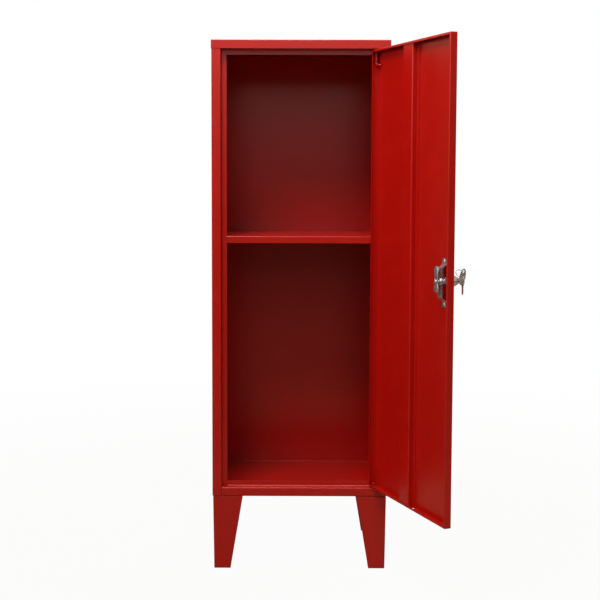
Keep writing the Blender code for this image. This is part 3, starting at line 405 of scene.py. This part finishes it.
# Keys: a stamped bow with a raised rim, and a milled blade with its cuts along one edge and a groove down
# each side. A cut is its place along the blade and its depth.
keyShape = {"start": 23.4, "shoulder": 43.7, "neck": 1.2, "neckInBow": 3.5, "thickness": 2, "halfBlade": 3.2,
            "halfNeck": 5, "tip": 3, "tipShare": 0.35, "leastHalf": 0.6, "bladeInset": 0.02, "edgeShare": 0.7,
            "cuts": ((27.6, 1.25), (30.4, 2.05), (33.2, 0.95), (36.0, 1.75), (38.8, 1.15)), "cutSlope": 0.9,
            "groove": 0.45, "grooveAt": 0.5, "grooveWidth": 0.6, "edge": 0.35, "rim": 1.4, "sunk": 0.3,
            "points": 96, "bladeRows": 90, "neckRows": 12, "bladeColumns": 15}
doorKey = {"bow": (16, 38), "raised": 9, "lean": 0.2, "hole": (2.2, 12.5), "holeRadius": 3.2}
spareKey = {"bow": (22, 16), "raised": 0, "lean": 0, "hole": (7, 0), "holeRadius": 2.2, "slack": 0.7}


def bowCentre(look, key):  # in the key's plane: x along the blade, y up
    return np.array([look["shoulder"] + look["neck"] + key["bow"][0] / 2, key["raised"]])


def keyBow(look, key):
    # a plate whose outline is an ellipse, leaning outwards at the top, with a round hole
    centre = bowCentre(look, key)
    angle = np.linspace(0, 2 * np.pi, look["points"], endpoint=False)
    outline = ellipse(centre, np.array(key["bow"]) / 2, angle)
    outline[:, 0] += key["lean"] * (outline[:, 1] - centre[1])
    hole = ellipse(centre + key["hole"], key["holeRadius"], angle)
    return plateSurface(outline, hole, look["thickness"], look["edge"], look["rim"], look["sunk"])


def keyBlade(look):
    # a section carried along x: half its height tapers at the tip, less the deepest cut there on the lower
    # edge; half its width is the plate's, less a bell-shaped groove
    neckEnd = look["shoulder"] + look["neck"] + look["neckInBow"]
    x = np.concatenate([[look["start"]], np.linspace(look["start"], look["shoulder"], look["bladeRows"]),
                        np.linspace(look["shoulder"], neckEnd, look["neckRows"])])
    neck = x >= look["shoulder"]
    taper = np.clip(look["tipShare"] + (1 - look["tipShare"]) * (x - look["start"]) / look["tip"], 0, 1)
    half = look["halfBlade"] * taper
    at, depth = np.array(look["cuts"]).T
    cut = np.maximum(depth - np.abs(x[:, None] - at) * look["cutSlope"], 0).max(1)
    top = np.where(neck, look["halfNeck"], half)
    low = np.where(neck, look["halfNeck"], np.maximum(half - cut, look["leastHalf"]))
    share = np.linspace(-1, 1, look["bladeColumns"])
    height = share * np.where(share > 0, top[:, None], low[:, None])
    bell = np.exp(-((height - look["grooveAt"]) / look["grooveWidth"]) ** 2)
    groove = np.where(neck, 0, look["groove"])[:, None] * bell
    wide = look["thickness"] / 2 - look["bladeInset"] - groove
    wide[:, [0, -1]] *= look["edgeShare"]  # both edges are chamfered
    section = np.concatenate([np.stack([height, wide], -1), np.stack([height, -wide], -1)[:, ::-1]], 1)
    section[[0, -1]] = 0  # the blade's two ends are closed to a point
    along = np.broadcast_to(x[:, None, None], section.shape[:2] + (1,))
    return np.concatenate([along, section], -1)


def makeKey(name, body, key, at, axes):  # a key's body and the node that it stands for have one name
    bow = inFrame(keyBow(keyShape, key), at, axes)
    blade = inFrame(keyBlade(keyShape), at, axes)
    gridPiece(name + "Bow", bow, body, brightNickel, [body], loop=True)
    gridPiece(name + "Blade", blade, body, brightNickel, [body])


makeKey("doorKey", "key", doorKey, lockAt, np.array([outward, upward, -hingeward]))
spareHang = (bowCentre(keyShape, spareKey) + spareKey["hole"])[0] + spareKey["slack"]
spareAt = np.array(joints["spare_key_swing"]["pos_m"]) - upward * spareHang * mm
makeKey("spareKey", "spare_key", spareKey, spareAt, np.array([upward, -hingeward, outward]))

# Key ring: two turns of wire side by side, which cross over where the ring is split
keyRing = {"radius": 12, "chord": 20, "tilt": 48, "wire": 0.52, "turnGap": 1.02, "crossover": 0.35,
           "endGap": 0.12, "startsAt": -60, "steps": 150, "sides": 12}


def makeKeyRing(look):
    # a circle run round twice, moved aside by a smooth step half way
    tilt = math.radians(look["tilt"])
    hang = -math.sin(tilt) * hingeward - math.cos(tilt) * upward
    aside = np.cross(hang, outward)
    drop = math.sqrt(look["radius"] ** 2 - look["chord"] ** 2 / 4)
    centre = hang * drop - outward * look["chord"] / 2
    turn = np.linspace(look["endGap"], 4 * np.pi - look["endGap"], look["steps"])
    angle = (turn + math.radians(look["startsAt"]))[:, None]
    step = np.tanh((turn - 2 * np.pi) / look["crossover"])[:, None]
    circle = look["radius"] * (np.cos(angle) * hang + np.sin(angle) * outward)
    path = centre + circle + look["wire"] * look["turnGap"] * step * aside
    wire = rodSurface(path, aside, look["wire"], look["sides"])
    points = np.array(joints["key_ring_swing"]["pos_m"]) + wire * mm
    gridPiece("keyRingSplit", points, "key_ring", brightNickel, ["key_ring"])


makeKeyRing(keyRing)
print("lock, keys and ring")

# Top hinge pin: a drawn rod that is bent to a finger grip, with rounded ends
hingePin = {"radius": 3, "top": 1367.5, "topRound": 1.8, "bendStart": 1322.1, "bend": 6, "bendGap": 1,
            "finger": 20, "bendSteps": 14, "runSteps": 8, "sides": 24}


def makeHingePin(look):
    # a round section carried straight down, round a quarter circle and straight out
    down = np.linspace(look["top"] - look["topRound"], look["bendStart"], look["runSteps"])[:-1]
    turn = np.linspace(0, np.pi / 2, look["bendSteps"])
    out = np.linspace(-look["bend"] - look["bendGap"], look["radius"] - look["finger"], look["runSteps"])
    x = np.concatenate([0 * down, -look["bend"] * (1 - np.cos(turn)), out])
    z = np.concatenate([down, look["bendStart"] - look["bend"] * np.sin(turn),
                        0 * out + look["bendStart"] - look["bend"]])
    rod = rodSurface(np.stack([x, 0 * x, z], -1), np.array([0, 1.0, 0]), look["radius"], look["sides"])
    points = inFrame(rod, doorAt, doorAxes)
    gridPiece("topHingePin", points, "top_pin", redSheet, ["top_hinge_pin"])


makeHingePin(hingePin)

# Pin spring: a helix whose end turns lie close, as a wound spring's do
pinSpring = {"mean": 4.4, "wire": 0.5, "low": 1327.6, "length": 25, "turns": 9.5, "closeTurns": 0.7,
             "easeTurns": 0.6, "closePitch": 1.06, "perTurn": 28, "sides": 10, "dome": 3, "keep": 0.52}


def makePinSpring(look):
    # a circle that rises by about one wire a turn, and by the spare length too where the turns are open
    turn = np.linspace(0, look["turns"], int(look["turns"] * look["perTurn"]))
    fromEnd = np.minimum(turn, look["turns"] - turn)
    opened = np.cumsum(np.clip((fromEnd - look["closeTurns"]) / look["easeTurns"], 0, 1))
    rise = 2 * look["wire"] * look["closePitch"] * turn
    spare = look["length"] - 2 * look["wire"] - rise[-1]
    height = look["low"] + look["wire"] + rise + spare * opened / opened[-1]
    angle = 2 * np.pi * turn
    path = np.stack([look["mean"] * np.cos(angle), look["mean"] * np.sin(angle), height], -1)
    wire = rodSurface(path, upward, look["wire"], look["sides"], look["dome"])
    points = inFrame(wire, doorAt, doorAxes)
    spring = gridPiece("hingePinSpringWire", points, "door", redSheet, ["hinge_pin_spring"])
    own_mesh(spring)


makePinSpring(pinSpring)

# Screws: a pan head with a cross recess, pressed into the dome, over a plain shank. A size is the shank's
# radius and length and the head's radius and height; the cross is in shares of the head's radius and height.
legBolts = {"size": (3, 11, 5.5, 3.2), "slot": "powder_coat", "finish": redSheet, "recess": 0.55}
sheetScrews = {"size": (1.8, 8, 3.6, 2.2), "slot": "zinc", "finish": zincSteel, "recess": 0.6}
crossHead = {"domeDrop": 0.55, "armHalf": 0.195, "armWall": 0.078, "endWall": 0.08, "depth": 0.42,
             "ringGap": 0.06, "innerRings": 12, "outerRings": 10, "soft": 0.3, "softSteps": 4, "sides": 64}


def screwSurface(look, cross):
    # height over the head: a flat-topped dome, less the depth of the cross where the point is in it
    shank, length, head, tall = look["size"]
    angle = np.linspace(0, 2 * np.pi, cross["sides"], endpoint=False)
    inner = np.linspace(0, look["recess"], cross["innerRings"])
    outer = np.linspace(look["recess"] + cross["ringGap"], 1, cross["outerRings"])
    share = np.concatenate([inner, outer])[:, None]
    across = share * np.cos(angle)
    along = share * np.sin(angle)
    offArm = np.minimum(np.abs(across), np.abs(along))
    inArm = np.clip((cross["armHalf"] - offArm) / cross["armWall"], 0, 1)
    inReach = np.clip((look["recess"] - share) / cross["endWall"], 0, 1)
    height = tall * (1 - cross["domeDrop"] * share ** 3 - cross["depth"] * inArm * inReach)
    top = np.stack([head * across, head * along, height], -1)
    rim = tall * (1 - cross["domeDrop"])
    profile = [(head, rim), (head, 0), (shank, 0), (shank, shank - length), (0, -length)]
    profile = softCorners(profile, cross["soft"], steps=cross["softSteps"])
    return np.vstack([top, turnedSurface(profile[cross["softSteps"] - 1:], cross["sides"])])


def namesOf(start, end=""):
    return [name for name in nodes if name.startswith(start) and name.endswith(end)]


def makeScrews(look, names, out):  # the head's top lies where the CAD node's does
    out = np.array(out, float)
    way = int(np.argmax(np.abs(out)))
    side = np.eye(3)[(way + 1) % 3]
    axes = np.array([side, np.cross(out, side), out])
    screw = screwSurface(look, crossHead)
    for name in names:
        low, high = (np.array(corner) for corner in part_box(name))
        at = (low + high) / 2
        at[way] = (high if out[way] > 0 else low)[way] - out[way] * look["size"][3] * mm
        points = inFrame(screw, at, axes)
        gridPiece(name + "_crossHead", points, "carcass", look["finish"], [name])


makeScrews(legBolts, namesOf("leg_bolt"), (0, 0, 1))
makeScrews(sheetScrews, namesOf("back_screw"), (0, 1, 0))
makeScrews(sheetScrews, namesOf("cap_screw", "left"), (-1, 0, 0))
makeScrews(sheetScrews, namesOf("cap_screw", "right"), (1, 0, 0))
print("hinge pin, spring and screws")

# Camera: where the photograph was taken from, found by fitting the locker's edges to it. The place is in
# metres, angles are in degrees, and the focal length and the picture's centre are in pixels of the image.
cameraPlace = {"at": (-0.0102, -3.1138, 1.0226), "yaw": -0.168, "down": 4.517, "roll": 0.154,
               "focal": 1134.4, "centre": (293, 270), "image": 600, "sensor": 36}


def placeCamera(look):
    yaw, down, roll = (math.radians(look[name]) for name in ("yaw", "down", "roll"))
    right = np.array([math.cos(yaw), -math.sin(yaw), 0])
    ahead = np.array([math.cos(down) * math.sin(yaw), math.cos(down) * math.cos(yaw), -math.sin(down)])
    up = np.cross(right, ahead)
    matrix = np.eye(4)
    matrix[:3, 0] = math.cos(roll) * right + math.sin(roll) * up
    matrix[:3, 1] = math.cos(roll) * up - math.sin(roll) * right
    matrix[:3, 2] = -ahead
    matrix[:3, 3] = look["at"]
    lens = bpy.data.cameras.new("camera")
    lens.sensor_width = look["sensor"]
    lens.lens = look["focal"] * look["sensor"] / look["image"]
    lens.shift_x = (look["image"] / 2 - look["centre"][0]) / look["image"]
    lens.shift_y = (look["centre"][1] - look["image"] / 2) / look["image"]
    camera = bpy.data.objects.new("camera", lens)
    camera.matrix_world = Matrix(matrix.tolist())
    scene.collection.objects.link(camera)
    scene.camera = camera


placeCamera(cameraPlace)

# Room: white to the camera. In reflections it is a warm white: a bright sweep behind the locker and, in front
# of it, a dim room under a bright panel. The panel's lower edge fades in between two angles above the horizon,
# in degrees, and the sweep's between two shares of the way towards the back.
studioRoom = {"ambient": 0.05, "sweep": 0.8, "sweepFrom": -0.35, "sweepTo": 0.25,
              "room": 0.05, "panel": 0.55, "panelFrom": -3, "panelTo": 9, "panelColour": "#FFEEC6"}


def buildRoom(look):
    world = bpy.data.worlds.new("studio")
    scene.world = world
    world.use_nodes = True
    tree = world.node_tree
    path = addNode(tree, "LightPath", {})
    way = addNode(tree, "SeparateXYZ", {}, {"Vector": addNode(tree, "TexCoord", {}).outputs["Generated"]})
    panelFrom, panelTo = (math.sin(math.radians(look[name])) for name in ("panelFrom", "panelTo"))
    panel = addNode(tree, "MapRange", {"interpolation_type": "SMOOTHSTEP", "From Min": panelFrom,
                                       "From Max": panelTo, "To Min": look["room"], "To Max": look["panel"]},
                    {"Value": way.outputs["Z"]})
    sweep = addNode(tree, "MapRange", {"From Min": look["sweepFrom"], "From Max": look["sweepTo"],
                                       "To Max": look["sweep"]},
                    {"Value": way.outputs["Y"], "To Min": panel.outputs["Result"]})
    mirrored = addNode(tree, "Math", {"operation": "MAXIMUM"},
                       {0: path.outputs["Is Glossy Ray"], 1: path.outputs["Is Transmission Ray"]})
    level = addNode(tree, "MapRange", {"To Min": look["ambient"]},
                    {"Value": mirrored.outputs[0], "To Max": sweep.outputs["Result"]})
    seen = addNode(tree, "MapRange", {"To Max": 1.0},
                   {"Value": path.outputs["Is Camera Ray"], "To Min": level.outputs["Result"]})
    tint = addNode(tree, "MixRGB", {"Color1": (1, 1, 1, 1), "Color2": linear(look["panelColour"])},
                   {"Fac": mirrored.outputs[0]})
    background = tree.nodes["Background"]
    tree.links.new(seen.outputs["Result"], background.inputs["Strength"])
    tree.links.new(tint.outputs["Color"], background.inputs["Color"])


buildRoom(studioRoom)

# Softboxes, all aimed at the locker's middle: name, place and size in metres, power in watts, and whether the
# paint and the metal mirror it. The last two are fill lights, which would leave bright patches on the paint.
softboxes = {"aim": (0.0, -0.1, 0.75),
             "boxes": [("softboxLeft", (-3.2, -1.1, 2.3), 1.6, 45.5, True),
                       ("softboxFront", (0.0, -4.2, 2.9), 2.4, 30, True),
                       ("softboxTop", (0.0, -1.15, 3.4), 0.5, 25, True),
                       ("softboxHigh", (-0.6, -1.5, 2.9), 0.7, 40, True),
                       ("softboxRight", (3.4, -0.3, 2.0), 1.6, 62, False),
                       ("softboxRear", (1.9, 3.2, 2.6), 2.4, 135, False)]}


def hangSoftboxes(look):
    for name, at, size, power, mirrored in look["boxes"]:
        light = bpy.data.lights.new(name, "AREA")
        light.shape = "SQUARE"
        light.size = size
        light.energy = power
        box = bpy.data.objects.new(name, light)
        box.visible_glossy = mirrored
        back = np.subtract(at, look["aim"])
        back /= np.linalg.norm(back)
        right = np.cross(upward, back)
        right /= np.linalg.norm(right)
        matrix = np.eye(4)
        matrix[:3] = np.stack([right, np.cross(back, right), back, at], -1)
        box.matrix_world = Matrix(matrix.tolist())
        scene.collection.objects.link(box)


hangSoftboxes(softboxes)

# Floor: matt, nearly white to the camera, with a faint shadow of the locker; it runs out into plain white
studioFloor = {"size": 14, "colour": "#8F8872", "roughness": 0.8, "glow": 0.96,
               "fadeFrom": 0.9, "fadeTo": 3.0}


def layFloor(look):
    half = look["size"] / 2
    corners = [(-half, -half, 0), (half, -half, 0), (half, half, 0), (-half, half, 0)]
    mesh = bpy.data.meshes.new("floor")
    mesh.from_pydata(corners, [], [(0, 1, 2, 3)])
    floor = bpy.data.objects.new("floor", mesh)
    scene.collection.objects.link(floor)
    settings = {"Base Color": linear(look["colour"]), "Roughness": look["roughness"]}
    material, tree, shader, coords = startMaterial("paleStudioFloor", settings)
    path = addNode(tree, "LightPath", {})
    seen = addNode(tree, "Math", {"operation": "MAXIMUM"},
                   {0: path.outputs["Is Camera Ray"], 1: path.outputs["Is Transmission Ray"]})
    far = addNode(tree, "VectorMath", {"operation": "LENGTH"}, {"Vector": coords})
    fade = addNode(tree, "MapRange", {"From Min": look["fadeFrom"], "From Max": look["fadeTo"],
                                      "To Min": look["glow"]}, {"Value": far.outputs["Value"]})
    share = addNode(tree, "Math", {"operation": "MULTIPLY"}, {0: seen.outputs[0], 1: fade.outputs["Result"]})
    glow = addNode(tree, "Emission", {"Color": (1, 1, 1, 1), "Strength": 1.0})
    mix = addNode(tree, "MixShader", {},
                  {0: share.outputs[0], 1: shader.outputs["BSDF"], 2: glow.outputs["Emission"]})
    tree.links.new(mix.outputs["Shader"], tree.nodes["Material Output"].inputs["Surface"])
    mesh.materials.append(material)


layFloor(studioFloor)
scene.view_settings.view_transform = "Standard"
print("camera, floor and lights")
